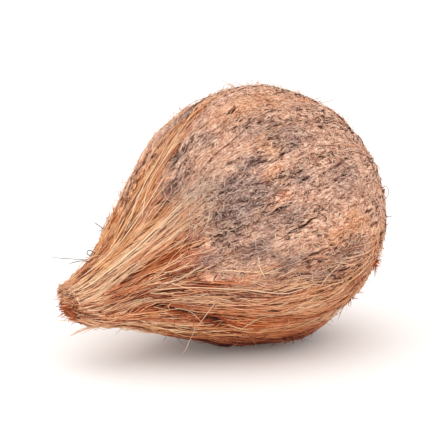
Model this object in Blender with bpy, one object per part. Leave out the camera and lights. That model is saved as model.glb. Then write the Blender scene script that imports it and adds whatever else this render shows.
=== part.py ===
"""A semi-husked coconut lying on its side: one solid, a ball of matted husk drawn out into a tuft.

Units are metres and +Z is up. The nut rests on a small flat spot at the origin, and its tuft points
towards -X and a little down. A place on the nut is given by its station, the distance along the
nut's straight axis from the middle of the ball towards the tuft, and by its angle round that axis,
which is zero on top and grows towards -Y.
"""

import math
import random

import bmesh
import bpy
from mathutils import Matrix, Vector, noise

MM = 0.001

# Size and attitude of the nut
BALL_RADIUS = 62 * MM
FAR_HALF_POWER = 2.2  # 2 would be a true sphere: the far half is a little blunter
AXIS_TILT = math.radians(11)  # the tuft end lies lower than the ball's middle
REST_CUT = 2.2 * MM  # how much of the ball's underside the flat spot takes
REST_CENTRE = 1.5 * MM  # the flat spot's middle, along X from under the ball's middle

# Outline of the tuft half, as (station, radius)
FLANK = (
    (0, BALL_RADIUS),
    (28 * MM, 54.4 * MM),
    (48 * MM, 42.4 * MM),
    (64 * MM, 31.2 * MM),
    (78 * MM, 21.4 * MM),
    (90 * MM, 14.4 * MM),
    (100 * MM, 11.2 * MM),
    (107 * MM, 10.2 * MM),
)
TUFT_END = FLANK[-1][0]
END_BULGE = 2.2 * MM  # how far the broken end's middle stands past its rim

# How far the tuft's middle line hangs below the straight axis, as (station, offset)
DROOP = (
    (0, 0),
    (40 * MM, -1.8 * MM),
    (75 * MM, -6.4 * MM),
    (98 * MM, -8.8 * MM),
    (112 * MM, -7.2 * MM),
)

# Locks of combed fibre that lie over the husk, in mm and degrees: half width, height, and the
# (station, angle) points of the middle line
LOCKS = (
    (8.5, 2.2, ((109, 52), (86, 46), (65, 45), (40, 43))),
    (8, 1.5, ((98, 10), (76, 21), (52, 12), (16, 7), (-18, 2))),
    (10, 1.9, ((107, 104), (76, 97), (46, 106), (10, 115), (-30, 101))),
    (11, 1.5, ((92, 140), (66, 148), (34, 152), (-6, 150))),
    (9, 1.8, ((104, -40), (74, -34), (40, -40), (4, -38))),
    (10, 2.0, ((104, -88), (78, -80), (44, -92), (6, -86), (-24, -80))),
    (10, 1.7, ((104, -140), (72, -132), (38, -140), (2, -136))),
)
# Hollows between the locks, where the darker under-husk shows, in the same form
HOLLOWS = (
    (6, -1.9, ((78, 76), (66, 68), (54, 70))),
    (4, -1.5, ((80, 112), (66, 119), (50, 126), (30, 127))),
    (5, -1.4, ((84, -8), (60, -12), (38, -10))),
    (5, -1.6, ((82, -62), (60, -60), (36, -64))),
    (5, -1.5, ((80, -112), (56, -116), (30, -112))),
)

# Relief that covers the whole husk
BUNDLES_ROUND = 5.2  # noise cells per unit of the section circle: about sixteen bundles of fibre
RIDGES_ROUND = 11  # the same for the finer ridges in each bundle
RIDGE_LENGTH = 44 * MM
RIDGE_ON_TUFT = 1.9 * MM
RIDGE_ON_BALL = 1.2 * MM
LUMP_SIZE = 26 * MM
LUMP_HEIGHT = 0.9 * MM
KEEL_HEIGHT = 0.5 * MM  # a coconut is faintly three-sided
END_ROUGHNESS = 1.6 * MM

# The mesh of the solid
COLUMNS = 72
RINGS = 50
END_RINGS = 3

# Loose strands, fused to the husk: how many of each kind, and their measures
ROOT_DEPTH = 2.0 * MM
GROUND_GAP = 0.6 * MM  # no strand comes nearer to the ground than this
STRAND_SIDES = 3
END_STUBS = 34
TUFT_STRAYS = 34
BALL_BRISTLES = 46
SCATTERED_STRANDS = 11
LAID_STRANDS = (
    # (station mm, angle deg) along the long loose strands that stand out most
    ((22, 118), (12, 122), (1, 122), (-9, 117)),
    ((19, 78), (14, 84), (8, 88)),
    ((70, 101), (58, 112), (46, 124)),
    ((74, 62), (60, 52), (47, 50), (34, 54)),
    ((64, 8), (44, 20), (22, 18), (2, 22)),
    ((52, -20), (34, -34), (14, -30), (-8, -40)),
    ((66, -96), (44, -84), (20, -92), (0, -84)),
    ((50, 168), (30, -176), (8, -168)),
    ((30, -132), (8, -140), (-14, -132)),
    ((-20, 52), (-28, 66), (-38, 72)),
    ((-16, -10), (-30, -22), (-42, -10)),
)
SEED = 7

HUSK_COLOUR = (0.52, 0.27, 0.14, 1)
HUSK_ROUGHNESS = 0.82

AXIS = Vector((-math.cos(AXIS_TILT), 0, -math.sin(AXIS_TILT)))
TOPWARD = Vector((-math.sin(AXIS_TILT), 0, math.cos(AXIS_TILT)))
SIDEWARD = Vector((0, -1, 0))
BALL_LOWEST = 61.9 * MM  # depth of the plain outline's lowest point below the ball's middle
BALL_MIDDLE = Vector((-REST_CENTRE, 0, BALL_LOWEST - REST_CUT))


def curve_value(points, at):
    """A smooth curve through points, which never overshoots them and ends level, read at one place."""
    at = min(max(at, points[0][0]), points[-1][0])
    last = len(points) - 1
    slopes = [(points[i + 1][1] - points[i][1]) / (points[i + 1][0] - points[i][0]) for i in range(last)]
    index = next(i for i in range(last) if at <= points[i + 1][0])

    def tangent(i):
        if i in (0, last):
            return 0
        before, after = slopes[i - 1], slopes[i]
        return 0 if before * after <= 0 else 2 * before * after / (before + after)

    (x0, y0), (x1, y1) = points[index], points[index + 1]
    width = x1 - x0
    t = (at - x0) / width
    rise = y1 - y0
    start, end = tangent(index) * width, tangent(index + 1) * width
    return y0 + t * (start + t * (3 * rise - 2 * start - end + t * (start + end - 2 * rise)))


def outline_radius(station):
    """Radius of the plain nut, before any relief, at a station."""
    if station >= 0:
        return curve_value(FLANK, station)
    share = min(1, -station / BALL_RADIUS)
    return BALL_RADIUS * (1 - share**FAR_HALF_POWER) ** (1 / FAR_HALF_POWER)


def smooth_step(low, high, value):
    t = min(1, max(0, (value - low) / (high - low)))
    return t * t * (3 - 2 * t)


def band_height(band, station, angle, radius):
    """Height of a lock or hollow over the husk at one place. Its ends fade out and its edges are steep."""
    half_width, height, line_points = band[0] * MM, band[1] * MM, band[2]
    line = sorted((s * MM, math.radians(a)) for s, a in line_points)
    beyond = max(line[0][0] - station, station - line[-1][0], 0)
    if beyond > half_width:
        return 0
    turn = (angle - curve_value(line, station) + math.pi) % (2 * math.pi) - math.pi
    across = abs(turn) * radius / half_width
    return height * smooth_step(1.15, 0.55, across) * smooth_step(1, 0, beyond / half_width)


def relief(station, angle, radius):
    """How far the real husk stands proud of the plain outline: keels, lumps, locks and fibre ridges."""
    round_x, round_y = math.cos(angle), math.sin(angle)
    on_tuft = smooth_step(10 * MM, 70 * MM, station)
    far_fade = smooth_step(0, 22 * MM, radius)
    keel = KEEL_HEIGHT * math.cos(3 * angle + 0.6) * (1 - on_tuft) * far_fade
    place = Vector((station, radius * round_x, radius * round_y)) / LUMP_SIZE
    lump = LUMP_HEIGHT * noise.noise(place) * (1 - 0.7 * on_tuft)
    bands = sum(band_height(band, station, angle, radius) for band in LOCKS + HOLLOWS)
    bundle, ridge = (
        noise.noise(Vector((cells * round_x, cells * round_y, station / RIDGE_LENGTH)))
        for cells in (BUNDLES_ROUND, RIDGES_ROUND)
    )
    ridge_height = RIDGE_ON_BALL + (RIDGE_ON_TUFT - RIDGE_ON_BALL) * on_tuft
    return keel + lump + bands + ridge_height * (bundle + 0.6 * ridge) * far_fade


def section_point(station, angle, radius):
    """The point at a distance from the nut's middle line, which droops along the tuft."""
    droop = curve_value(DROOP, max(0, station))
    outward = math.cos(angle) * TOPWARD + math.sin(angle) * SIDEWARD
    return BALL_MIDDLE + station * AXIS + droop * TOPWARD + radius * outward


def husk_point(station, angle, lift=0.0):
    """A point on the husk, or lift above it."""
    radius = outline_radius(station)
    return section_point(station, angle, radius + relief(station, angle, radius) + lift)


def husk_frame(station, angle):
    """A point on the husk with its outward normal and the direction along the fibres, towards the tuft."""
    step = 2 * MM
    here = husk_point(station, angle)
    along = (husk_point(station + step, angle) - husk_point(station - step, angle)).normalized()
    turn = step / max(outline_radius(station), step)
    across = husk_point(station, angle + turn) - husk_point(station, angle - turn)
    outward = across.cross(along).normalized()
    middle = section_point(station, angle, 0)
    return here, (outward if outward.dot(here - middle) > 0 else -outward), along


def even_stations(count):
    """Stations that part the outline from the far pole to the tuft's end into equal lengths."""
    fine = 400
    walk = [-BALL_RADIUS * math.cos(math.pi / 2 * i / fine) for i in range(fine)]
    walk += [TUFT_END * i / fine for i in range(fine + 1)]
    lengths = [0.0]
    for before, after in zip(walk, walk[1:]):
        rise = outline_radius(after) - outline_radius(before)
        lengths.append(lengths[-1] + math.hypot(after - before, rise))
    table = list(zip(lengths, walk))
    return [curve_value(table, lengths[-1] * i / count) for i in range(count + 1)]


def material(name, colour, roughness):
    made = bpy.data.materials.new(name)
    made.use_nodes = True
    shader = made.node_tree.nodes["Principled BSDF"]
    shader.inputs["Base Color"].default_value = colour
    shader.inputs["Roughness"].default_value = roughness
    shader.inputs["Metallic"].default_value = 0
    return made


def new_object(name, mesh, collection):
    made = bpy.data.objects.new(name, mesh)
    collection.objects.link(made)
    return made


def make_husk(collection):
    """A UV sphere whose rings are moved to the nut's sections, and its last rings to the broken end."""
    shaped = bmesh.new()
    bmesh.ops.create_uvsphere(shaped, u_segments=COLUMNS, v_segments=RINGS, radius=1)
    side_rings = RINGS - END_RINGS
    stations = even_stations(side_rings)
    for vertex in shaped.verts:
        ring = round(math.acos(max(-1, min(1, vertex.co.z))) / math.pi * RINGS)
        angle = math.atan2(vertex.co.y, vertex.co.x)
        if ring <= side_rings:
            vertex.co = husk_point(stations[ring], angle)
            continue
        inward = (RINGS - ring) / END_RINGS
        rim = outline_radius(TUFT_END) + relief(TUFT_END, angle, outline_radius(TUFT_END))
        place = Vector((math.cos(angle), math.sin(angle), 0)) * inward * 3
        bulge = END_BULGE * (1 - inward**2) + END_ROUGHNESS * noise.noise(place)
        vertex.co = section_point(TUFT_END + bulge, angle, rim * inward)
    mesh = bpy.data.meshes.new("coconut")
    shaped.to_mesh(mesh)
    shaped.free()
    return new_object("coconut", mesh, collection)


def make_strand(name, path, root_radius, tip_radius, collection):
    """One loose strand: a three-sided cone, cut into a ring for each point of its path and laid along it."""
    shaped = bmesh.new()
    pieces = len(path) - 1
    bmesh.ops.create_cone(
        shaped, segments=STRAND_SIDES, radius1=root_radius, radius2=tip_radius, depth=pieces, cap_ends=True
    )
    sides = [edge for edge in shaped.edges if abs(edge.verts[0].co.z - edge.verts[1].co.z) > pieces / 2]
    if pieces > 1:
        bmesh.ops.subdivide_edges(shaped, edges=sides, cuts=pieces - 1, use_grid_fill=False)
    for vertex in shaped.verts:
        step = min(pieces, max(0, round(vertex.co.z + pieces / 2)))
        before, after = path[max(0, step - 1)], path[min(pieces, step + 1)]
        turn = (after - before).to_track_quat("Z", "Y")
        vertex.co = path[step] + turn @ Vector((vertex.co.x, vertex.co.y, 0))
    mesh = bpy.data.meshes.new(name)
    shaped.to_mesh(mesh)
    shaped.free()
    return new_object(name, mesh, collection)


def leaning_path(draw, station, angle, length, lean, spread, points):
    """A path that leaves the husk at a slant. Lean is its share along the fibres, towards the tuft."""
    here, outward, along = husk_frame(station, angle)
    across = outward.cross(along)
    heading = (outward + lean * along + draw.uniform(-spread, spread) * across).normalized()
    bend = draw.uniform(-0.35, 0.35) * across + draw.uniform(-0.2, 0.1) * outward
    root = here - outward * ROOT_DEPTH
    path = [root]
    for i in range(1, points + 1):
        t = i / points
        path.append(here + length * t * (heading + bend * t))
    return path


def make_end_stubs(draw, collection):
    """Stiff broken ends that stand out of the tuft's end."""
    for i in range(END_STUBS):
        away = outline_radius(TUFT_END) * 0.92 * math.sqrt((i + 0.5) / END_STUBS)
        angle = i * math.radians(137.5)
        root = section_point(TUFT_END - 3 * MM, angle, away)
        flare = (section_point(TUFT_END, angle, away) - section_point(TUFT_END, angle, 0)).normalized()
        heading = (AXIS + flare * draw.uniform(0, 0.3) + 0.12 * TOPWARD * draw.uniform(-1, 1)).normalized()
        reach = 3 * MM + draw.uniform(3.8, 7.5) * MM
        make_strand(f"stub_{i}", [root, root + heading * reach], 0.75 * MM, 0.42 * MM, collection)


def make_tuft_strays(draw, collection):
    """Strands that have come away from the tuft's side and point past its end."""
    for i in range(TUFT_STRAYS):
        station = draw.uniform(62, 103) * MM
        angle = i * math.radians(137.5) + draw.uniform(-0.3, 0.3)
        length = draw.uniform(7, 17) * MM
        path = leaning_path(draw, station, angle, length, draw.uniform(1.2, 2.6), 0.5, 2)
        make_strand(f"stray_{i}", path, 0.6 * MM, 0.4 * MM, collection)


def make_bristles(draw, collection):
    """Short bristles all over the ball, evenly spread by the golden angle."""
    for i in range(BALL_BRISTLES):
        share = (i + 0.5) / BALL_BRISTLES
        station = BALL_RADIUS * (-0.96 + 1.8 * share)
        angle = i * math.radians(137.5) + draw.uniform(-0.2, 0.2)
        lean = draw.uniform(-1.1, 0.4)
        path = leaning_path(draw, station, angle, draw.uniform(2.6, 6.0) * MM, lean, 0.8, 1)
        if path[-1].z > GROUND_GAP:
            make_strand(f"bristle_{i}", path, 0.6 * MM, 0.38 * MM, collection)


def scattered_line(draw, index):
    """A wavering line along the fibres, on a place of its own all round the ball."""
    station = draw.uniform(-12, 58)
    angle = index * 137.5 + draw.uniform(-12, 12)
    return tuple((station - 13 * step, angle + draw.uniform(-7, 7)) for step in range(4))


def make_laid_strands(draw, collection):
    """Long strands that lie loose on the husk, half sunk in it along their way."""
    lines = LAID_STRANDS + tuple(scattered_line(draw, i) for i in range(SCATTERED_STRANDS))
    for i, line in enumerate(lines):
        ordered = [(s * MM, math.radians(a)) for s, a in line]
        path = [husk_point(*ordered[0], -ROOT_DEPTH)]
        for (s0, a0), (s1, a1) in zip(ordered, ordered[1:]):
            turn = (a1 - a0 + math.pi) % (2 * math.pi) - math.pi
            path += [husk_point(s0 + (s1 - s0) * t, a0 + turn * t, 0.25 * MM) for t in (0.25, 0.75)]
        path.append(husk_point(*ordered[-1], 2.5 * MM))
        if min(point.z for point in path) > GROUND_GAP:
            make_strand(f"laid_{i}", path, 0.7 * MM, 0.5 * MM, collection)


def apply_modifiers(target):
    """Replaces the object's mesh by its evaluated one."""
    graph = bpy.context.evaluated_depsgraph_get()
    old = target.data
    target.data = bpy.data.meshes.new_from_object(target.evaluated_get(graph))
    target.modifiers.clear()
    bpy.data.meshes.remove(old)
    target.data.name = target.name


def fuse_strands(husk, strands):
    """Joins all loose strands and the husk into one body, and clears the strands away."""
    union = husk.modifiers.new("strands", "BOOLEAN")
    union.operation = "UNION"
    union.operand_type = "COLLECTION"
    union.collection = strands
    union.solver = "MANIFOLD"
    apply_modifiers(husk)
    for strand in list(strands.objects):
        bpy.data.objects.remove(strand)


def cut_rest(husk, cutters):
    """Cuts the flat spot that the nut rests on, and any strand that would reach below it."""
    block = bpy.data.meshes.new("ground_block")
    shaped = bmesh.new()
    size, depth = 0.4, 0.05
    turn = Matrix.Translation((0, 0, -depth / 2)) @ Matrix.Diagonal((size, size, depth, 1))
    bmesh.ops.create_cube(shaped, size=1, matrix=turn)
    shaped.to_mesh(block)
    shaped.free()
    ground = new_object("ground_block", block, cutters)
    ground.hide_render = True
    ground.display_type = "WIRE"
    cut = husk.modifiers.new("rest", "BOOLEAN")
    cut.operation = "DIFFERENCE"
    cut.object = ground
    cut.solver = "MANIFOLD"


def main():
    for old in list(bpy.data.objects):
        bpy.data.objects.remove(old)
    parts = bpy.data.collections.new("coconut")
    strands = bpy.data.collections.new("strands")
    cutters = bpy.data.collections.new("cutters")
    for collection in (parts, strands, cutters):
        bpy.context.scene.collection.children.link(collection)
    draw = random.Random(SEED)
    husk = make_husk(parts)
    make_end_stubs(draw, strands)
    make_tuft_strays(draw, strands)
    make_bristles(draw, strands)
    make_laid_strands(draw, strands)
    fuse_strands(husk, strands)
    cut_rest(husk, cutters)
    husk.data.materials.append(material("husk_fibre", HUSK_COLOUR, HUSK_ROUGHNESS))
    husk.data.shade_smooth()
    husk.data.set_sharp_from_angle(angle=math.radians(50))


main()
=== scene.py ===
# %% [markdown]
# # A semi-husked coconut
#
# The nut in this lesson has had most of its husk trimmed away. What is left is a ball of matted brown
# fibre, called coir, with one long tuft that was left on the pointed end. Nearly all of its look is
# fibre: long and combed on the tuft, short and felted on the ball, and broken off at the tuft's end.
#
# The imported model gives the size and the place. Everything made here stands round it or in its stead.

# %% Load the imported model
import math

import bpy
import numpy as np
from mathutils import Matrix, Vector, noise


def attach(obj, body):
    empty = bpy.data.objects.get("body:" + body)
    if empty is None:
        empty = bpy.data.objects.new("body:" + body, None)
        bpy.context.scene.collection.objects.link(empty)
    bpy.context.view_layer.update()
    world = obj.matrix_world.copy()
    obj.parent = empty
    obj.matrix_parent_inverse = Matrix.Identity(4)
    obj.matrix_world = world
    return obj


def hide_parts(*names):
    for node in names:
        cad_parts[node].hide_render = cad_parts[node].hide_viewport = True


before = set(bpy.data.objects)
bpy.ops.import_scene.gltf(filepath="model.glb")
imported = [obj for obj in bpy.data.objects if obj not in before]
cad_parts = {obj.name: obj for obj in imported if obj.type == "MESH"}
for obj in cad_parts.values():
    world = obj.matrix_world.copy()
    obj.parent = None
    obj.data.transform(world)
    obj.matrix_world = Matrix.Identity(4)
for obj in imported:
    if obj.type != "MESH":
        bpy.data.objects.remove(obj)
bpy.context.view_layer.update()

MM = 0.001
FULL_TURN = 2 * math.pi
rng = np.random.default_rng(5)

# %% [markdown]
# ## Where a place on the nut is
#
# A coconut grows round an axis, and its fibres run along it. So a place on it is given by two numbers:
# how far along the nut's outline it lies, and the angle round the axis. The distance, called run here,
# starts at the far pole and ends at the tuft's end. The angle is zero on top and grows towards the side
# that the camera sees. The axis is tilted, so that the tuft hangs low.

# %% The nut's outline and attitude
BALL_RADIUS = 62 * MM
FAR_HALF_POWER = 2.2
AXIS_TILT = math.radians(11)
BALL_MIDDLE = np.array([-1.5, 0, 59.7]) * MM
AXIS = np.array([-math.cos(AXIS_TILT), 0, -math.sin(AXIS_TILT)])
TOPWARD = np.array([-math.sin(AXIS_TILT), 0, math.cos(AXIS_TILT)])
SIDEWARD = np.array([0, -1, 0])

# (station, radius) in mm, where a station is the distance from the ball's middle towards the tuft
FLANK = ((0, 62), (28, 54.4), (48, 42.4), (64, 31.2), (78, 21.4), (90, 14.4), (100, 11.2), (107, 10.2))
# The loose ends of the fibres reach the last 3 mm
TUFT_END = (FLANK[-1][0] - 3) * MM
# (station, offset) in mm: the tuft's middle line hangs below the axis
DROOP = ((0, 0), (40, -1.8), (75, -6.4), (98, -8.8), (112, -7.2))


def smooth_curve(points, at):
    """A curve through points that never overshoots them and ends level, read at many places."""
    x, y = np.array(points, float).T
    slope = np.diff(y) / np.diff(x)
    before, after = slope[:-1], slope[1:]
    same_way = before * after > 0
    tangent = np.zeros(len(x))
    tangent[1:-1] = np.where(same_way, 2 * before * after / np.where(same_way, before + after, 1), 0)
    at = np.clip(at, x[0], x[-1])
    i = np.clip(np.searchsorted(x, at, side="right") - 1, 0, len(x) - 2)
    width, rise = x[i + 1] - x[i], y[i + 1] - y[i]
    t = (at - x[i]) / width
    start, end = tangent[i] * width, tangent[i + 1] * width
    return y[i] + t * (start + t * (3 * rise - 2 * start - end + t * (start + end - 2 * rise)))


def outline_radius(station):
    """Radius of the plain nut at each station, in metres."""
    share = np.clip(-station / BALL_RADIUS, 0, 1)
    far_half = BALL_RADIUS * (1 - share**FAR_HALF_POWER) ** (1 / FAR_HALF_POWER)
    return np.where(station < 0, far_half, smooth_curve(FLANK, station / MM) * MM)


walk = np.concatenate([
    -BALL_RADIUS * np.cos(np.linspace(0, math.pi / 2, 400, endpoint=False)),
    np.linspace(0, TUFT_END, 401),
])
walked = np.concatenate([[0], np.cumsum(np.hypot(np.diff(walk), np.diff(outline_radius(walk))))])
RUN_LENGTH = walked[-1]


def station_of(run):
    return np.interp(run, walked, walk)


def run_of(station):
    return np.interp(station, walk, walked)


def section_point(station, angle, radius):
    """Points at a distance from the nut's middle line."""
    station, angle, radius = np.broadcast_arrays(station, angle, radius)
    outward = np.cos(angle)[..., None] * TOPWARD + np.sin(angle)[..., None] * SIDEWARD
    droop = smooth_curve(DROOP, np.maximum(station, 0) / MM) * MM
    middle = BALL_MIDDLE + station[..., None] * AXIS + droop[..., None] * TOPWARD
    return middle + radius[..., None] * outward


print(f"the outline runs {RUN_LENGTH / MM:.0f} mm from the far pole to the tuft's end")

# %% [markdown]
# ## The camera
#
# The photograph was taken with a long lens from a little above, with the tuft towards the viewer. The
# angles were found by fitting the outline to the picture. The camera comes early, so that each later
# step can be looked at from its place.

# %% Set the camera
CAMERA_ANGLE, CAMERA_RISE = math.radians(34), math.radians(13)
CAMERA_DISTANCE = 0.95
LENS_PIXELS, PICTURE_PIXELS = 1970, 447
# The middle of the picture is this far to the left of the ball's middle, and this far below it
AIM_LEFT, AIM_BELOW = 14.1 * MM, 3 * MM
back = Vector((
    -math.sin(CAMERA_ANGLE) * math.cos(CAMERA_RISE),
    -math.cos(CAMERA_ANGLE) * math.cos(CAMERA_RISE),
    math.sin(CAMERA_RISE),
))
right = Vector((math.cos(CAMERA_ANGLE), -math.sin(CAMERA_ANGLE), 0))
up = back.cross(right)
aim = Vector(BALL_MIDDLE) - AIM_LEFT * right - AIM_BELOW * up

bpy.ops.object.camera_add()
camera = bpy.context.object
camera.name = "photo_camera"
camera.data.sensor_width = 36
camera.data.lens = LENS_PIXELS / PICTURE_PIXELS * camera.data.sensor_width
turned = Matrix((right, up, back)).transposed().to_4x4()
camera.matrix_world = Matrix.Translation(aim + back * CAMERA_DISTANCE) @ turned
bpy.context.scene.camera = camera
print(f"lens {camera.data.lens:.0f} mm, {CAMERA_DISTANCE} m away")

# %% [markdown]
# ## The relief of the husk
#
# The husk was never smooth. It is faintly three-sided, it has soft lumps, and its fibres lie in bundles
# that run along it. On top lie locks of combed fibre, and between them are hollows where the darker
# under-husk shows. These are the forms of the solid, so that this finer husk takes up the same space.

# %% The forms that the solid has too
# Half width and height in mm, then the middle line as (station mm, angle deg)
LOCKS = (
    (8.5, 2.2, ((109, 52), (86, 46), (65, 45), (40, 43))),
    (8, 1.5, ((98, 10), (76, 21), (52, 12), (16, 7), (-18, 2))),
    (10, 1.9, ((107, 104), (76, 97), (46, 106), (10, 115), (-30, 101))),
    (11, 1.5, ((92, 140), (66, 148), (34, 152), (-6, 150))),
    (9, 1.8, ((104, -40), (74, -34), (40, -40), (4, -38))),
    (10, 2, ((104, -88), (78, -80), (44, -92), (6, -86), (-24, -80))),
    (10, 1.7, ((104, -140), (72, -132), (38, -140), (2, -136))),
)
HOLLOWS = (
    (6, -1.9, ((78, 76), (66, 68), (54, 70))),
    (4, -1.5, ((80, 112), (66, 119), (50, 126), (30, 127))),
    (5, -1.4, ((84, -8), (60, -12), (38, -10))),
    (5, -1.6, ((82, -62), (60, -60), (36, -64))),
    (5, -1.5, ((80, -112), (56, -116), (30, -112))),
)
BUNDLES_ROUND, RIDGES_ROUND = 5.2, 11
RIDGE_LENGTH = 44 * MM
RIDGE_ON_TUFT, RIDGE_ON_BALL = 1.9 * MM, 1.2 * MM
LUMP_SIZE, LUMP_HEIGHT = 26 * MM, 0.9 * MM
KEEL_HEIGHT = 0.5 * MM


def smooth_step(low, high, value):
    t = np.clip((value - low) / (high - low), 0, 1)
    return t * t * (3 - 2 * t)


def noise_at(x, y, z):
    """Blender's noise at many points at once, from about -1 to 1."""
    x, y, z = np.broadcast_arrays(x, y, z)
    points = np.stack([x, y, z], axis=-1).reshape(-1, 3).tolist()
    return np.array([noise.noise(point) for point in points]).reshape(x.shape)


def drawn_out_noise(station, angle, length, cells):
    """Noise in blots about length mm long. The higher cells is, the more of them lie round the nut."""
    return noise_at(station / (length * MM), cells * np.cos(angle), cells * np.sin(angle))


def turn_between(angle, other):
    """The signed angle from one to the other, the short way round."""
    return (angle - other + math.pi) % FULL_TURN - math.pi


def line_angle(line, station):
    """The angle of a line given as (station mm, angle deg) points, at each station."""
    return np.radians(smooth_curve(sorted(line), station / MM))


def band_height(band, station, angle, radius):
    """Height of a lock or hollow. Its ends fade out and its edges are steep."""
    half_width, height, line = band
    ends = [at for at, _ in line]
    beyond = np.maximum(np.maximum(min(ends) * MM - station, station - max(ends) * MM), 0)
    across = np.abs(turn_between(angle, line_angle(line, station))) * radius / (half_width * MM)
    fade = smooth_step(1, 0, beyond / (half_width * MM))
    return height * MM * smooth_step(1.15, 0.55, across) * fade


def main_relief(station, angle, radius):
    round_x, round_y = np.cos(angle), np.sin(angle)
    on_tuft = smooth_step(10 * MM, 70 * MM, station)
    far_fade = smooth_step(0, 22 * MM, radius)
    keel = KEEL_HEIGHT * np.cos(3 * angle + 0.6) * (1 - on_tuft) * far_fade
    lump = noise_at(station / LUMP_SIZE, radius * round_x / LUMP_SIZE, radius * round_y / LUMP_SIZE)
    bands = sum(band_height(band, station, angle, radius) for band in LOCKS + HOLLOWS)
    bundle, ridge = (
        noise_at(cells * round_x, cells * round_y, station / RIDGE_LENGTH)
        for cells in (BUNDLES_ROUND, RIDGES_ROUND)
    )
    height = RIDGE_ON_BALL + (RIDGE_ON_TUFT - RIDGE_ON_BALL) * on_tuft
    soft = LUMP_HEIGHT * lump * (1 - 0.7 * on_tuft)
    return keel + soft + bands + height * (bundle + 0.6 * ridge) * far_fade


# %% [markdown]
# ## Finer relief
#
# The husk's own surface lies under the loose fibres, so it is set in by about their depth. They are
# thickest over the shoulder, and they close in round the tuft's broken end. Where fibres are combed, the
# husk under them has thin ridges. Where they are felted, it is dented like old felt.

# %% Room for the fibres, and the fine forms
# The middle of the strip of combed fibre along the top edge, as (station mm, angle deg)
TOP_STRIP = ((98, 14), (76, 18), (62, 8), (48, -2), (38, -2), (17, -8), (2, -9))


def fibre_depth(station, angle):
    """How far the husk is set in under its fibres, in metres."""
    along = station / MM
    on_top = smooth_step(95, 35, np.abs(np.degrees(turn_between(angle, math.radians(-10)))))
    from_top = np.abs(np.degrees(turn_between(angle, 0)))
    under = smooth_step(100, 125, from_top) * smooth_step(168, 148, from_top) * smooth_step(30, 5, along)
    even = 1.2 * smooth_step(-60, -34, along) + 0.4 * smooth_step(60, 90, along)
    shoulder = 0.7 * smooth_step(20, 40, along) * smooth_step(70, 55, along)
    closing = 2.4 * smooth_step(94, 104, along) * (1 - 0.35 * on_top)
    return (even * (1 + 0.8 * under) + on_top * (smooth_step(62, 84, along) + shoulder) + closing) * MM


def combed_share(station, angle):
    """1 where the fibres are long and combed, 0 where they are short and felted."""
    along = station / MM
    degrees = np.degrees(turn_between(angle, 0))
    # On the back, the tuft starts further from the ball's middle
    back_side = smooth_step(5, -22, degrees) * smooth_step(-130, -90, degrees)
    tuft = smooth_step(44, 66, along - 13 * back_side)
    underside = smooth_step(88, 130, np.abs(degrees)) * smooth_step(-60, -10, along)
    from_strip = np.abs(np.degrees(turn_between(angle, line_angle(TOP_STRIP, station))))
    top_edge = smooth_step(11, 4, from_strip) * smooth_step(4, 30, along)
    back_edge = smooth_step(16, 8, np.abs(degrees + 86)) * smooth_step(-20, 10, along)
    return np.maximum.reduce([tuft, underside, top_edge, back_edge])


def fine_relief(station, angle, radius, combed):
    """What is too fine for the solid: thin ridges along the fibres, and felted dents."""
    x, y, along = np.cos(angle), np.sin(angle), station / MM
    thin = noise_at(26 * x, 26 * y, along / 24) + 0.8 * noise_at(60 * x, 60 * y, along / 15)
    x, y = x * radius / MM, y * radius / MM
    dent = noise_at(x / 2.6, y / 2.6, along / 4)
    coarse = noise_at(x / 8 + 5, y / 8, along / 12)
    ridges = 0.36 * thin * (0.35 + 0.65 * combed)
    felted = (0.34 * dent + 0.45 * coarse) * (1 - combed)
    return (ridges + felted) * MM * smooth_step(0, 9 * MM, radius)


# %% [markdown]
# ## Slits, pits, gaps and weathered patches
#
# Where the knife cut deep or a bundle of fibre pulled away, the husk is left with dark slits that run
# along the fibres, and with small pits. Between the combed bundles are long dark gaps. Rain and age have
# turned some patches mauve grey, and where the surface was rubbed off lately it is golden or rusty.
# The clear marks on the side in view are placed one by one. Finer ones, and those on the rest of the
# nut, come from a seeded draw.

# %% Where the marks are
# (station mm, angle deg) of both ends, then width mm and depth mm
SLITS = [
    (13.5, 12.5, 6.4, 12, 1.5, 1.7), (3, 30.5, -6, 32.5, 1.6, 1.6), (9.3, 46.5, 2.2, 46, 1.5, 1.6),
    (16.8, 44, 9.3, 47.5, 1.3, 1.3), (4.7, 61, -1.2, 60, 1.7, 1.6), (23, 68.5, 12, 68, 1.4, 1.5),
    (18.9, 81, 3, 78, 1.6, 1.6), (-26.7, 92, -36.6, 93.5, 1.5, 1.6), (-12.8, 65, -15.2, 67.5, 1.7, 1.5),
    (-25.6, 84.5, -30.5, 85.5, 1.6, 1.4), (-12.2, 61, -25.6, 57.5, 1.9, 0.9),
    (12.2, 94, 2.2, 92.5, 1.5, 1.3), (36.9, -8.5, 29, -7.5, 1.5, 1.6), (39.5, 6, 36, 6, 1.5, 1.4),
    (29, 36, 24.4, 37.5, 1.5, 1.5), (47.4, 33.5, 44.9, 35.5, 1.8, 1.6), (20.2, 69, 17.3, 69.5, 1.3, 1.2),
    (-36, 86.5, -40, 87.2, 1.8, 1.5), (-8.5, 114, -12, 115.5, 2.4, 1.4), (40, 47, 33, 49, 1.3, 1.2),
    (30, 20, 24, 21, 1.2, 1.2), (-30, 40, -38, 42, 1.3, 1), (-3, 104, -12, 105, 1.2, 1.2),
    (22, 100, 12, 102, 1.2, 1.2),
]
# (station mm, angle deg, size mm)
PITS = [
    (-3.1, 67.5, 1.7), (-6.7, 69.5, 1.8), (-3.7, 72, 1.5), (4.7, 85.5, 2), (-1.8, 75.5, 1.4),
    (-14, 74, 1.3), (-20, 79, 1.5), (-9, 61, 1.3), (8, 73, 1.3), (1.5, 66, 1.2), (24, 47, 1.4),
]
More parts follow.
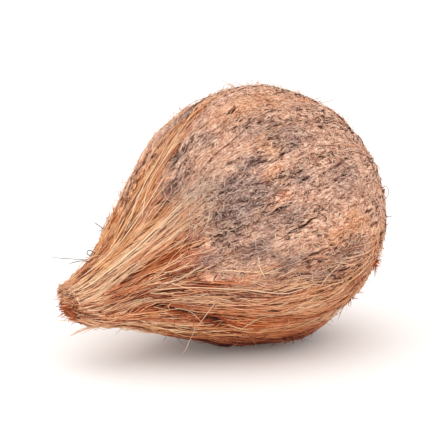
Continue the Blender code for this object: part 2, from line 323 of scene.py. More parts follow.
# Half width and height in mm, then the line as (station mm, angle deg), as for the hollows
GAPS = [
    (1.3, -2, ((77, 107), (69, 115), (63, 120), (57, 125), (50, 129.5), (42, 134))),
    (0.6, -1, ((42, 134), (35, 135), (25, 137))),
    (0.6, -1.1, ((98, 60), (88, 64), (78, 67))),
    (0.6, -1, ((63, 91), (55, 96), (48, 98), (40, 102))),
    (0.6, -1, ((61, 114), (54, 115), (45, 118), (37, 121), (25, 125))),
    (0.6, -1, ((88, 83), (82, 90), (76, 93), (70, 94), (62, 97))),
    (0.7, -1.1, ((75, 133), (67, 139), (58, 144), (47, 145), (34, 144))),
    (0.8, -1.1, ((-12, 116), (-18, 119), (-24, 122))),
    (0.6, -0.9, ((56, 104), (42, 109), (27, 114), (16, 115))),
    (0.6, -1, ((22, 136), (8, 137), (-6, 135))),
    (0.5, -0.8, ((97, 36), (88, 35), (76, 34))),
    (0.6, -1, ((70, 2), (56, -1), (42, -2))),
    (0.5, -0.9, ((94, 96), (86, 98), (80, 100))),
    (0.6, -1, ((92, 74), (84, 77), (76, 80), (68, 82))),
    (0.5, -1, ((52, 113.5), (42, 118.5), (32, 122))),
    (0.5, -1, ((55, 123), (48, 126.5), (40, 130))),
    (0.5, -1, ((60, 92.5), (52, 97), (45, 103), (34, 106.5))),
    (0.5, -1, ((84, 98), (76, 100.5), (68, 110))),
    (0.5, -0.9, ((76, 72), (70, 76), (64, 83))),
    (0.5, -1, ((44, 138), (34, 140), (22, 142))),
]
# (station mm, angle deg, half length mm, half width mm, strength)
WEATHERED = [
    (20, 43, 9, 5, 1), (31, 50, 11, 9, 1), (35, 60, 11, 8, 1), (24, 58, 9, 7, 0.9),
    (32, 83, 8, 6, 0.8), (18.5, 94, 7, 6, 0.8), (-5.5, 98, 6, 5, 0.6), (16, 73, 8, 6, 0.8),
    (2.6, 59.5, 7, 6, 0.7), (48.7, 24, 8, 5, 0.65), (28.6, 16, 7, 4, 0.7), (50.4, 80.5, 5, 4, 0.7),
    (8, 28, 10, 5, 0.5), (44, 38, 7, 5, 0.7), (-2, 40, 12, 8, 0.7), (-20, 66, 11, 8, 0.6),
    (40, 12, 9, 4, 0.7), (26, 72, 9, 7, 0.6), (40, 72, 7, 6, 0.6), (4, 104, 9, 5, 0.5),
    (-14, 96, 8, 6, 0.5),
]
GOLDEN = [
    (10.6, 40.5, 9, 5, 0.45), (-15.8, 88, 10, 8, 0.45), (-5, 90, 8, 6, 0.4), (-2, 14, 24, 9, 0.3),
    (66, 2, 22, 6, 0.8), (74, -25, 14, 9, 0.8), (-37, 124, 6, 4, 1), (14, 52, 5, 3, 0.4),
    (-16, 130, 14, 5, 0.8), (22, -7, 16, 3, 0.8), (44, -1, 14, 4, 0.7), (84, 22, 14, 5, 0.7),
    (60, 32, 12, 3, 0.8), (20, 140, 20, 6, 0.6), (50, 142, 14, 6, 0.6),
    (66, 146, 14, 6, 0.7), (-32, 102, 12, 9, 0.45), (-16, 112, 12, 8, 0.4), (6, 112, 12, 7, 0.35),
    (52, -15, 14, 7, 0.75), (32, -20, 16, 7, 0.55), (10, -18, 14, 6, 0.5),
]
RUSTY = [
    (67, 66, 13, 4, 1), (18.5, 53, 4, 2.5, 0.4), (15.2, 63.5, 6, 3, 0.35), (72, 118, 16, 4, 0.9),
    (46, 126, 22, 5, 0.9), (30, 132, 24, 6, 0.9), (84, 78, 10, 4, 0.7), (52, 97, 14, 2, 0.8),
    (8, 128, 26, 5, 0.8), (38, 118, 16, 3, 0.7),
]


def hidden_place():
    """A place on the side that the camera doesn't see, as (station mm, angle deg)."""
    return rng.uniform(-52, 46), rng.uniform(-172, -18)


def hidden_patches(count, low, high):
    sizes = [(rng.uniform(5, 11), rng.uniform(4, 8), rng.uniform(low, high)) for _ in range(count)]
    return [(*hidden_place(), *size) for size in sizes]


def hidden_gap():
    """A gap between bundles on the tuft's hidden sides or on the underside."""
    station, angle = rng.uniform(20, 88), rng.choice([rng.uniform(-165, -20), rng.uniform(148, 185)])
    ends = np.linspace(station, station - rng.uniform(14, 40), 3)
    half_width, depth = rng.uniform(0.5, 1.1), rng.uniform(1, 1.7)
    return half_width, -depth, tuple((at, angle + rng.uniform(-3, 3)) for at in ends)


HIDDEN_SLITS, HIDDEN_GAPS, FINE_SLITS, FINE_PITS = 26, 16, 150, 220
for _ in range(HIDDEN_SLITS):
    start, turn = hidden_place()
    end = start - rng.uniform(3, 15)
    SLITS.append((start, turn, end, turn + rng.uniform(-2, 2), rng.uniform(1.2, 2), 1.5))
GAPS += [hidden_gap() for _ in range(HIDDEN_GAPS)]
WEATHERED += hidden_patches(18, 0.5, 1)
GOLDEN += hidden_patches(9, 0.4, 0.9)
RUSTY += hidden_patches(7, 0.25, 0.5)
# Fine slits and small dark pits are all over the felt
for _ in range(FINE_SLITS):
    start, turn, length = rng.uniform(-54, 50), rng.uniform(-180, 180), rng.gamma(3, 2)
    end_turn = turn + length * rng.normal(0, 0.25)
    SLITS.append((start, turn, start - length, end_turn, rng.uniform(0.8, 1.1), rng.uniform(0.5, 1)))
for _ in range(FINE_PITS):
    PITS.append((rng.uniform(-58, 50), rng.uniform(-180, 180), rng.uniform(0.8, 1.2)))
print(len(SLITS), "slits,", len(PITS), "pits,", len(GAPS), "gaps")

# %% [markdown]
# ## One grid for the whole surface
#
# The husk's mesh, and each of the thousands of fibres that lie on it, need to know where the surface is.
# Working out the relief for each point of each fibre would be slow. So it is done once, on a fine grid
# of run and angle, and whatever comes later reads the grid.

# %% Work out the surface once
COLUMNS, RINGS, END_RINGS = 600, 150, 8
SIDE_RINGS = RINGS - END_RINGS
grid_run = np.linspace(0, RUN_LENGTH, SIDE_RINGS + 1)[:, None]
grid_angle = (np.arange(COLUMNS) / COLUMNS * FULL_TURN)[None, :]
grid_station = station_of(grid_run)
grid_radius = outline_radius(grid_station)
grid_combed = combed_share(grid_station, grid_angle)


def slit_depths():
    """How deep the slits, pits and gaps reach at each place of the grid, in metres."""
    station, angle, radius = grid_station, grid_angle, grid_radius
    depth = np.zeros((SIDE_RINGS + 1, COLUMNS))
    for s0, a0, s1, a1, width, deep in SLITS:
        t = np.clip((s0 * MM - station) / ((s0 - s1) * MM), 0, 1)
        waver = 0.35 * MM * np.sin(t * 9 + s0)
        line = np.radians(a0 + (a1 - a0) * t)
        beyond = np.maximum(np.maximum(station - s0 * MM, s1 * MM - station), 0)
        across = np.abs(turn_between(angle, line) * radius + waver)
        narrowing = 0.35 + 0.65 * np.sin(math.pi * np.clip(t, 0.05, 0.95))
        away = np.hypot(across / narrowing, beyond * 0.6) / (width * MM / 2)
        depth = np.maximum(depth, deep * MM * smooth_step(1.25, 0.3, away))
    for s0, a0, size in PITS:
        rows = np.abs(station[:, 0] - s0 * MM) < 4 * MM
        across = turn_between(angle, math.radians(a0)) * radius[rows]
        away = np.hypot((station[rows] - s0 * MM) * 0.6, across) / (size * MM)
        pit = 1.1 * MM * smooth_step(0.6, 0.1, away) * (1 - 0.8 * grid_combed[rows])
        depth[rows] = np.maximum(depth[rows], pit)
    for gap in GAPS:
        depth = np.maximum(depth, -band_height(gap, station, angle, radius))
    return depth


ragged = 0.55 * drawn_out_noise(grid_station, grid_angle, 4.5, 13)
ragged += 0.35 * drawn_out_noise(grid_station, grid_angle, 1.6, 40)


def patch_strength(patches):
    """How strongly a kind of patch shows at each place, from 0 to 1, with ragged edges."""
    shown = np.zeros((SIDE_RINGS + 1, COLUMNS))
    for s0, a0, half_length, half_width, strength in patches:
        along = (grid_station - s0 * MM) / (half_length * MM)
        across = turn_between(grid_angle, math.radians(a0)) * grid_radius / (half_width * MM)
        shown = np.maximum(shown, strength * smooth_step(1.5, 0.25, np.hypot(along, across) + ragged))
    return shown


def softened(grid):
    """A grid without its small bumps. Fibres bridge them and don't follow each one."""
    across = sum(np.roll(grid, shift, axis=1) for shift in range(-4, 5)) / 9
    padded = np.concatenate([across[:1], across, across[-1:]])
    return (padded[:-2] + padded[1:-1] + padded[2:]) / 3


grid_marks = slit_depths()
main_height = main_relief(grid_station, grid_angle, grid_radius) - fibre_depth(grid_station, grid_angle)
grid_height = main_height + fine_relief(grid_station, grid_angle, grid_radius, grid_combed) - grid_marks
grid_soft = softened(grid_height)
PATCHES = {"weathered": WEATHERED, "golden": GOLDEN, "rust_and_low_shade": RUSTY}
patch_grids = {name: patch_strength(patches) for name, patches in PATCHES.items()}


def read_grid(values, run, angle):
    """Reads a grid between its points. The angle wraps round."""
    row = np.clip(run / RUN_LENGTH, 0, 1) * SIDE_RINGS
    column = (angle / FULL_TURN % 1) * COLUMNS
    r0 = np.minimum(row.astype(int), SIDE_RINGS - 1)
    c0 = column.astype(int) % COLUMNS
    c1 = (c0 + 1) % COLUMNS
    fr, fc = row - r0, column - np.floor(column)
    low = values[r0, c0] * (1 - fc) + values[r0, c1] * fc
    high = values[r0 + 1, c0] * (1 - fc) + values[r0 + 1, c1] * fc
    return low * (1 - fr) + high * fr


def husk_point(run, angle, lift=0, height=grid_soft):
    """Points on the husk, or lift above it. Past the tuft's end they carry on straight."""
    station = station_of(run) + np.maximum(run - RUN_LENGTH, 0)
    radius = outline_radius(station) + read_grid(height, run, angle) + lift
    return section_point(station, angle, radius)


lowest, highest = grid_height.min() / MM, grid_height.max() / MM
print(f"{grid_height.size} places, relief from {lowest:.1f} to {highest:.1f} mm")

# %% [markdown]
# ## Coir, the finish of everything here
#
# Coir is a plant fibre, dry and matt, with a faint sheen along a smooth strand. Fresh coir is straw to
# orange, felted coir is a dusty pinkish tan, under-husk is rust brown, and old coir is mauve grey. The
# colour comes from four numbers that every point carries: tint, from dark to pale, and how weathered,
# golden and rusty its place is. Low down under the nut, tint and rust also carry painted shade. So a
# fibre differs from its neighbour, and a patch carries on from the husk into the fibres over it.

# %% Helpers for colours and nodes
def colour(hex_code):
    """Turns an sRGB hex code to the linear colour that shaders use."""
    channels = [int(hex_code[i : i + 2], 16) / 255 for i in (1, 3, 5)]
    linear = [c / 12.92 if c <= 0.04045 else ((c + 0.055) / 1.055) ** 2.4 for c in channels]
    return (*linear, 1)


def set_inputs(node, values):
    for name, value in values.items():
        node.inputs[name].default_value = value


def add_node(material, kind, settings=None, **links):
    """Adds a node, sets its properties, and links or sets its inputs by name or by number."""
    node = material.node_tree.nodes.new("ShaderNode" + kind)
    for name, value in (settings or {}).items():
        setattr(node, name, value)
    for name, source in links.items():
        key = int(name[1:]) if name[0] == "_" else name.replace("_", " ")
        if isinstance(source, bpy.types.NodeSocket):
            material.node_tree.links.new(source, node.inputs[key])
        else:
            node.inputs[key].default_value = source
    return node


def ramp(material, factor, stops):
    """A colour ramp with (position, hex code) stops."""
    node = add_node(material, "ValToRGB", Fac=factor)
    elements = node.color_ramp.elements
    while len(elements) < len(stops):
        elements.new(0.5)
    for element, (position, hex_code) in zip(elements, stops):
        element.position = position
        element.color = colour(hex_code)
    return node.outputs["Color"]


def mixed(material, factor, first, second):
    """Mixes two colours."""
    return add_node(material, "Mix", {"data_type": "RGBA"}, _0=factor, _6=first, _7=second).outputs[2]


def blended(material, factor, first, second):
    """Mixes two numbers."""
    return add_node(material, "Mix", {"data_type": "FLOAT"}, _0=factor, _2=first, _3=second).outputs[0]


def attribute(material, name):
    return add_node(material, "Attribute", {"attribute_name": name}).outputs


def texture(material, place, scale, detail, roughness):
    links = dict(Vector=place, Scale=scale, Detail=detail, Roughness=roughness)
    return add_node(material, "TexNoise", **links).outputs["Fac"]


def new_material(name, roughness, specular):
    made = bpy.data.materials.new(name)
    made.use_nodes = True
    shader = made.node_tree.nodes["Principled BSDF"]
    set_inputs(shader, {"Roughness": roughness, "Specular IOR Level": specular})
    return made, shader


# %% The colours of coir, from dark to pale
FRESH = ((0.0, "#541D10"), (0.25, "#9C5231"), (0.5, "#D38B62"), (0.75, "#E7B188"), (1.0, "#F5D4AF"))
FELTED = ((0.0, "#2E1812"), (0.25, "#875B4A"), (0.5, "#C8987F"), (0.75, "#E2BCA2"), (1.0, "#F1D8C3"))
OLD = ((0.0, "#2A1A19"), (0.3, "#624642"), (0.6, "#96776D"), (1.0, "#D8C1B0"))
GOLD = ((0.0, "#74381A"), (0.35, "#C0703A"), (0.7, "#E6A262"), (1.0, "#F5CF9A"))
RUST = ((0.0, "#54180B"), (0.4, "#B25227"), (0.75, "#DC8246"), (1.0, "#F0B27C"))


def coir_colour(material, tint, base):
    for name, stops in (("golden", GOLD), ("rust_and_low_shade", RUST), ("weathered", OLD)):
        base = mixed(material, attribute(material, name)["Fac"], base, ramp(material, tint, stops))
    return base


print("coir goes from", FRESH[0][1], "to", FRESH[-1][1])

# %% [markdown]
# ## The husk
#
# By hand, this would be a sphere that is pulled out and sculpted. Here the start is the same, a UV
# sphere, and each of its points is then moved to its place on the nut, ring by ring. The last few rings
# close the tuft's end. The points under the flat spot are set level, as the nut's weight pressed them.

# %% Make the husk
END_BULGE = 1.6 * MM


def end_height(angle, inward):
    """How far the tuft's broken end stands past its rim. It is a bundle of snapped ends."""
    x, y = np.cos(angle) * inward, np.sin(angle) * inward
    uneven = 0.8 * MM * noise_at(x * 4, y * 4, 0.5) * smooth_step(1, 0.8, inward)
    return END_BULGE * (1 - inward**2) + uneven


bpy.ops.object.select_all(action="DESELECT")
bpy.ops.mesh.primitive_uv_sphere_add(segments=COLUMNS, ring_count=RINGS, radius=1)
husk = bpy.context.object
husk.name = husk.data.name = "matted_husk"
count = len(husk.data.vertices)
places = np.empty(count * 3)
husk.data.vertices.foreach_get("co", places)
places = places.reshape(-1, 3)
ring = np.round(np.arccos(np.clip(places[:, 2], -1, 1)) / math.pi * RINGS)
angle = np.arctan2(places[:, 1], places[:, 0])
side_run = np.minimum(ring / SIDE_RINGS, 1) * RUN_LENGTH
on_side = husk_point(side_run, angle, height=grid_height)
inward = np.clip((RINGS - ring) / END_RINGS, 0, 1)
rim = outline_radius(TUFT_END) + read_grid(grid_height, side_run, angle)
on_end = section_point(TUFT_END + end_height(angle, inward), angle, rim * inward)
surface = np.where((ring <= SIDE_RINGS)[:, None], on_side, on_end)
surface[:, 2] = np.maximum(surface[:, 2], 0)
husk.data.vertices.foreach_set("co", surface.astype(np.float32).ravel())


def store(piece, name, values, kind="FLOAT"):
    """Keeps a number, or a vector, for each point of a piece."""
    field = piece.data.attributes.new(name, kind, "POINT")
    holds = "vector" if kind == "FLOAT_VECTOR" else "value"
    field.data.foreach_set(holds, values.astype(np.float32).ravel())


for name, grid in patch_grids.items():
    store(husk, name, read_grid(grid, side_run, angle))
store(husk, "combed", read_grid(grid_combed, side_run, angle))
# Slits, pits and gaps are darkened inside, the deeper the darker, and the tuft's broken end by half:
# painted shade
shade_in_marks = np.clip(read_grid(grid_marks, side_run, angle) / (1.2 * MM), 0, 1)
store(husk, "painted_mark_shade", np.maximum(shade_in_marks, 0.5 * (ring > SIDE_RINGS)))
# Comb coordinates are in mm, as on a drum of this radius
COMB_RADIUS = 60
comb = [COMB_RADIUS * np.cos(angle), COMB_RADIUS * np.sin(angle), station_of(side_run) / MM]
store(husk, "comb", np.stack(comb, axis=-1), "FLOAT_VECTOR")
bpy.ops.object.shade_smooth()
print(f"husk: {count} points, {len(husk.data.polygons) * 2} triangles")

# %% [markdown]
# ## The felt of the husk
#
# Between the loose fibres the husk itself is felt: a mat of short fibre and dust. Its pattern follows
# the growth of the nut, so it is drawn in comb coordinates, in which the fibres run along one axis and
# crowd together on the tuft as the real ones do. On the ball, a finer grain in all directions is added,
# and short dark dashes where the felt has opened. Inside slits, pits and gaps the husk is nearly black
# with painted shade, the deeper the darker, and the tuft's broken end is half as dark, painted shade
# between its stubs.

# %% Finish the husk
felt, shader = new_material("felted coir", 0.92, 0.2)
comb_place = attribute(felt, "comb")["Vector"]
object_place = add_node(felt, "TexCoord").outputs["Object"]
# Streaks are 0.7 mm wide and 14 mm long, dashes 0.8 mm wide and 3 mm long
streak_place = add_node(felt, "Mapping", Vector=comb_place, Scale=(1.4, 1.4, 0.07))
dash_place = add_node(felt, "Mapping", Vector=comb_place, Scale=(1.2, 1.2, 0.34))
streaks = texture(felt, streak_place.outputs["Vector"], 1, 3, 0.6)
dashes = texture(felt, dash_place.outputs["Vector"], 1, 2, 0.6)
# Grain of about 0.8 mm and clumps of 6 mm
grain = texture(felt, object_place, 1250, 3, 0.7)
clumps = texture(felt, object_place, 165, 2, 0.5)
felted_tint = blended(felt, 0.5, grain, dashes)
# Under the combed strands the husk is darker by 0.11: painted shade between the strands
combed_tint = add_node(felt, "Math", {"operation": "SUBTRACT"}, _0=streaks, _1=0.11).outputs[0]
is_combed = attribute(felt, "combed")["Fac"]
both = blended(felt, is_combed, felted_tint, combed_tint)
rough = add_node(felt, "Math", {"operation": "MULTIPLY_ADD"}, _0=clumps, _1=0.15, _2=both).outputs[0]
stretch = dict(From_Min=0.44, From_Max=0.70, To_Min=0.1, To_Max=0.9)
felt_tint = add_node(felt, "MapRange", Value=rough, **stretch).outputs["Result"]
felt_base = mixed(felt, is_combed, ramp(felt, felt_tint, FELTED), ramp(felt, felt_tint, FRESH))
surface_colour = coir_colour(felt, felt_tint, felt_base)
# Painted shade inside the marks and on the tuft's broken end
with_mark_shade = mixed(felt, attribute(felt, "painted_mark_shade")["Fac"], surface_colour, colour("#3A1A12"))
felt.node_tree.links.new(with_mark_shade, shader.inputs["Base Color"])
bump = add_node(felt, "Bump", Height=rough, Strength=0.8, Distance=0.8 * MM)
felt.node_tree.links.new(bump.outputs["Normal"], shader.inputs["Normal"])
husk.data.materials.append(felt)
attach(husk, "root")
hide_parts("coconut")
print("felted coir:", len(felt.node_tree.nodes), "nodes")

# %% [markdown]
# ## How a fibre is made
#
# A fibre is a thin tube that follows a path and tapers at its ends. Thousands are needed, so each has
# only three sides. A curve object with a bevel would give the same shape, but it can't carry a tint for
# each fibre, so the tubes are laid out in one mesh. Each is closed at both ends.

# %% Lay tubes along paths
FIBRE_SIDES = 3
# Keeps a path of no length from dividing by zero
TINY = 1e-12


def tubes(paths, widths):
    """Points and faces of closed tubes. Paths are (fibres, points, 3), and widths (fibres, points)."""
    fibres, points = paths.shape[:2]
    along = np.gradient(paths, axis=1)
    along /= np.linalg.norm(along, axis=2, keepdims=True) + TINY
    # Each path runs least along one of the three axes, and its tube's first side is square to that one
    least = np.eye(3)[np.argmin(np.abs(along.mean(axis=1)), axis=1)][:, None, :]
    side = np.cross(along, least)
    side /= np.linalg.norm(side, axis=2, keepdims=True) + TINY
    other = np.cross(along, side)
    rings = []
    for corner in range(FIBRE_SIDES):
        turn = FULL_TURN * corner / FIBRE_SIDES
        rings.append(paths + (widths / 2)[..., None] * (math.cos(turn) * side + math.sin(turn) * other))
    places = np.stack(rings, axis=2).reshape(-1, 3)
    index = np.arange(fibres * points * FIBRE_SIDES).reshape(fibres, points, FIBRE_SIDES)
    here, ahead = index[:, :-1], index[:, 1:]
    walls = np.stack([here, np.roll(here, -1, axis=2), np.roll(ahead, -1, axis=2), ahead], axis=-1)
    caps = np.concatenate([index[:, 0, ::-1], index[:, -1]])
    return places, walls.reshape(-1, 4), caps


def fibre_piece(name, paths, widths, fields, material):
    """Makes one object of many fibres. A field is a number for each fibre, or for each of its points."""
    places, walls, caps = tubes(paths, widths)
    mesh = bpy.data.meshes.new(name)
    mesh.from_pydata(places.tolist(), [], walls.tolist() + caps.tolist())
    piece = bpy.data.objects.new(name, mesh)
    bpy.context.collection.objects.link(piece)
    for field in ("tint", *PATCHES):
        spread = np.broadcast_to(fields.get(field, 0), widths.shape)
        store(piece, field, np.repeat(spread, FIBRE_SIDES, axis=1))
    mesh.shade_smooth()
    mesh.materials.append(material)
    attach(piece, "root")
    print(f"{name}: {len(paths)} fibres, {len(walls) * 2 + len(caps)} triangles")


def strand_material(name, stops, roughness, specular):
    made, shader = new_material(name, roughness, specular)
    tint = attribute(made, "tint")["Fac"]
    strand_colour = coir_colour(made, tint, ramp(made, tint, stops))
    made.node_tree.links.new(strand_colour, shader.inputs["Base Color"])
    return made


combed_coir = strand_material("combed coir strand", FRESH, 0.6, 0.35)
short_coir = strand_material("short felted coir", FELTED, 0.8, 0.2)

# %% [markdown]
# ## Letting fibres grow over the surface
#
# Each fibre starts at a place, heads along the nut or across it, and sways as it goes. All sway with
# the same slow pattern, so that neighbours stay together in locks, and each has a small waver of its
# own. Its height over the husk rises and falls, and both ends dip into the felt.

# %% Functions that grow them all at once
# No path comes nearer to the resting plane than half a thick strand
LOWEST_PATH = 0.3 * MM
# Fibres low down are painted a darker red-brown, from the first height to the second: painted shade under
# the nut
LOW_SHADE_HEIGHTS = (17 * MM, 2 * MM)


def grow(run, angle, heading, length, points, sway, waver):
    """Tracks over the husk, as runs and angles. Heading is the angle to the nut's axis."""
    step = length / (points - 1)
    own = rng.normal(0, 1, (len(run), 2))
    phase = rng.uniform(0, FULL_TURN, (len(run), 2))
    track_run, track_angle = [run], [angle]
    for i in range(points - 1):
        t = i / (points - 1)
        slow, quick = drawn_out_noise(run, angle, 38, 2.3), drawn_out_noise(run, angle, 12, 7)
        curl = own[:, 0] * np.sin(4 * t + phase[:, 0]) + 0.5 * own[:, 1] * np.sin(9 * t + phase[:, 1])
        toward = heading + sway * (slow + 0.4 * quick) + waver * curl
        radius = np.maximum(outline_radius(station_of(run)), 3 * MM)
        run = np.clip(run + step * np.cos(toward), 0.5 * MM, None)
        angle = angle + step * np.sin(toward) / radius
        track_run.append(run)
        track_angle.append(angle)
    return np.stack(track_run, axis=1), np.stack(track_angle, axis=1)


def lay(name, runs, angles, lift, widths, tint, material, crossing=0.1, patchy=0.9):
    """Makes a piece of fibres along tracks. Those that would bridge a slit or gap are left out."""
    over = read_grid(grid_marks, runs, angles).max(axis=1) > 0.35 * MM
    kept = ~over | (rng.uniform(0, 1, len(runs)) < crossing)
    runs, angles, lift, widths = runs[kept], angles[kept], lift[kept], widths[kept]
    paths = husk_point(runs, angles, lift)
    paths[..., 2] = np.maximum(paths[..., 2], LOWEST_PATH)
    fields = {kind: patchy * read_grid(grid, runs, angles) for kind, grid in patch_grids.items()}
    # Low down, fibres get a lower tint and more rust red-brown: painted shade under the nut
    painted_low_shade = smooth_step(*LOW_SHADE_HEIGHTS, paths[..., 2])
    fields["tint"] = np.clip(tint[kept] - 0.7 * painted_low_shade, 0, 1)
    fields["rust_and_low_shade"] = np.maximum(fields["rust_and_low_shade"], 0.8 * painted_low_shade)
    fibre_piece(name, paths, widths, fields, material)


def taper(points, root, tip):
    """The share of its full width that a fibre has at each of its points."""
    t = np.linspace(0, 1, points)
    return np.clip(np.minimum(root + t * 4, tip + (1 - t) * 3), 0, 1)


def arch(points):
    """Rises from 0 to 1 and falls back to 0, along a fibre."""
    return np.sin(np.linspace(0, math.pi, points))


def scatter_places(count, share):
    """Even random places over the husk, kept with the chance that share gives at each."""
    run, angle = np.empty(0), np.empty(0)
    while len(run) < count:
        r = rng.uniform(0, RUN_LENGTH, count)
        a = rng.uniform(-math.pi, math.pi, count)
        station = station_of(r)
        chance = outline_radius(station) / BALL_RADIUS * share(station, a)
        kept = rng.uniform(0, 1, count) < chance
        run, angle = np.concatenate([run, r[kept]]), np.concatenate([angle, a[kept]])
    return run[:count], angle[:count]


def each(low, high, count):
    """A random number for each fibre, as a column."""
    return rng.uniform(low, high, count)[:, None]


def each_normal(spread, count):
    return rng.normal(0, spread, count)[:, None]


# %% [markdown]
# ## The combed strands
#
# On the tuft, along the top edge and under the ball, the fibres were never cut. They lie side by side,
# 12 to 44 mm long, straw to orange, and cover the husk several layers deep. About one in ten is dark, and
# one in five on the tuft: painted shade between the pale ones. Those near the tuft's end run on to it and
# are snapped off there.

# %% Comb the long strands
def on_combed(station, angle):
    return 0.01 + combed_share(station, angle) * np.where(station > 40 * MM, 1.7, 0.8)


def streak(runs, angles):
    """From about -1 to 1. Neighbours are alike, so that pale and red-brown strands lie in streaks."""
    x, y, along = np.cos(angles), np.sin(angles), runs / MM
    return 0.9 * noise_at(14 * x, 14 * y, along / 45) + 1.3 * noise_at(44 * x, 44 * y, along / 26)


POINTS, number = 7, 4600
for part in (1, 2):
    run, angle = scatter_places(number, on_combed)
    run = np.minimum(run, RUN_LENGTH - 8 * MM)
    length = rng.uniform(12, 44, number) * MM
    length = np.minimum(length, RUN_LENGTH + rng.uniform(-2, 3, number) * MM - run)
    runs, angles = grow(run, angle, rng.normal(0, 0.1, number), length, POINTS, 0.2, 0.16)
    on_tuft = smooth_step(0, 45 * MM, station_of(run))[:, None]
    varied = 0.27 * streak(runs, angles) + each_normal(0.18, number)
    tint = 0.68 + 0.02 * on_tuft + (0.7 + 0.3 * on_tuft) * varied
    # About one strand in ten, one in five on the tuft, is dark: painted shade between the pale strands
    tint = np.where(each(0, 1, number) < 0.09 + 0.1 * on_tuft, each(0, 0.2, number), tint)
    layer = rng.gamma(2, 0.3, number)[:, None]
    lift = (layer * arch(POINTS) + each(-0.1, 0.3, number) - 0.25 * (1 - arch(POINTS))) * MM
    widths = each(0.22, 0.54, number) * MM * taper(POINTS, 0.4, 0.25)
    lay(f"combed_strands_{part}", runs, angles, lift, widths, tint, combed_coir)

# %% [markdown]
# ## Locks
#
# A few bundles stand out of the combed fibre as ropes, a centimetre or two wide. The palest one comes
# over the shoulder of the nut from the tuft's end and shades the rust-coloured hollow below it. Towards
# the ball, the strands of a lock fan out and end one by one.

# %% Lay the locks
# The lock, how many strands, how high its crown is in mm, and its middle tint
LAID_LOCKS = (
    (LOCKS[0], 960, 2.1, 0.88), ((4.5, 0, TOP_STRIP), 170, 0.35, 0.7), (LOCKS[2], 240, 0.9, 0.72),
    (LOCKS[4], 130, 1, 0.7), (LOCKS[5], 140, 1, 0.7),
)
POINTS = 9
t = np.linspace(0, 1, POINTS)
lock_tracks = []
for (half_width, _, line), number, crown, middle in LAID_LOCKS:
    far, near = max(line[-1][0], 8), min(line[0][0], 107)
    # Strands cross each other a little, and the far end is a ragged tongue
    middle_across, slant = each(-0.97, 0.97, number), each_normal(0.16, number)
    across = np.clip(middle_across + slant * (2 * t - 1), -0.99, 0.99)
    ragged_end = 9 * middle_across[:, 0] ** 2 + rng.gamma(1.5, 2.5, number)
    start = (rng.uniform(far - 4, near - 12, number) + ragged_end) * MM
    length = rng.uniform(14, 46, number) * MM
    run = run_of(start)[:, None] + length[:, None] * t
    run = np.minimum(run, RUN_LENGTH + each(-3, 2, number) * MM)
    station = station_of(run)
    fan = 0.7 + 0.35 * smooth_step(70 * MM, 35 * MM, station)
    radius = np.maximum(outline_radius(station), 9 * MM)
    sway = 0.9 * noise_at(run / (11 * MM), 3 * middle_across, each(0, 2, number)) * MM
    turn = line_angle(line, station) + (across * half_width * MM * fan + sway) / radius
    height = crown * np.sqrt(1 - across**2) * (0.35 + 0.65 * each(0, 1, number) ** 0.7)
    lift = (height * (0.3 + 0.7 * arch(POINTS)) - 0.4 * (1 - arch(POINTS)) ** 3) * MM
    tint = middle + 0.22 * streak(run, turn) + each_normal(0.2, number)
    # 18 in a hundred strands are dark: painted shade between the lock's strands
    tint = np.where(each(0, 1, number) < 0.18, each(0, 0.2, number), tint)
    lock_tracks.append((run, turn, lift, tint))
runs, angles, lift, tint = (np.concatenate(parts) for parts in zip(*lock_tracks))
widths = each(0.18, 0.4, len(runs)) * MM * taper(POINTS, 0.35, 0.25)
lay("locks", runs, angles, lift, widths, tint, combed_coir, crossing=0.5)

# %% [markdown]
# ## The felted fibres of the ball
#
# On the ball the fibres were cut short by the knife and then rubbed. They are 2 to 9 mm long and lie in
# all directions, though most keep near the direction of growth. Dark fibres and flecks among them are
# painted shade of small holes in the felt. Longer curly hairs, paler than the felt, show most over the
# grey patches.

# %% Felt the ball
def on_felt(station, angle):
    return 1.05 - combed_share(station, angle)


def hole_shade_share(station, angle):
    """From 0 to 1. Painted shade of small holes, as dark specks, is thicker in some places, which are
    drawn out along the fibres.
    """
    return smooth_step(-0.15, 0.45, drawn_out_noise(station, angle, 20, 6))


def on_hole_shaded_felt(station, angle):
    return on_felt(station, angle) * (0.08 + hole_shade_share(station, angle))


POINTS, number = 4, 6200
for part in (1, 2):
    run, angle = scatter_places(number, on_felt)
    heading = rng.choice([0, math.pi], number) + rng.normal(0, 0.6, number)
    runs, angles = grow(run, angle, heading, rng.gamma(5, 0.95, number) * MM, POINTS, 0.25, 0.5)
    # Dark felt fibres lie low: painted shade of small holes in the felt
    dark = each(0, 1, number) < 0.06 + 0.13 * hole_shade_share(station_of(run), angle)[:, None]
    tint = np.where(dark, each(0, 0.2, number), 0.3 + 0.65 * rng.beta(1.6, 1.6, number)[:, None])
    lift = (rng.gamma(1.6, 0.24, number)[:, None] * np.where(dark, 0.6, 1) * arch(POINTS) - 0.05) * MM
    widths = each(0.2, 0.46, number) * MM * taper(POINTS, 0.5, 0.35)
    lay(f"felted_fibres_{part}", runs, angles, lift, widths, tint, short_coir, crossing=0.02)

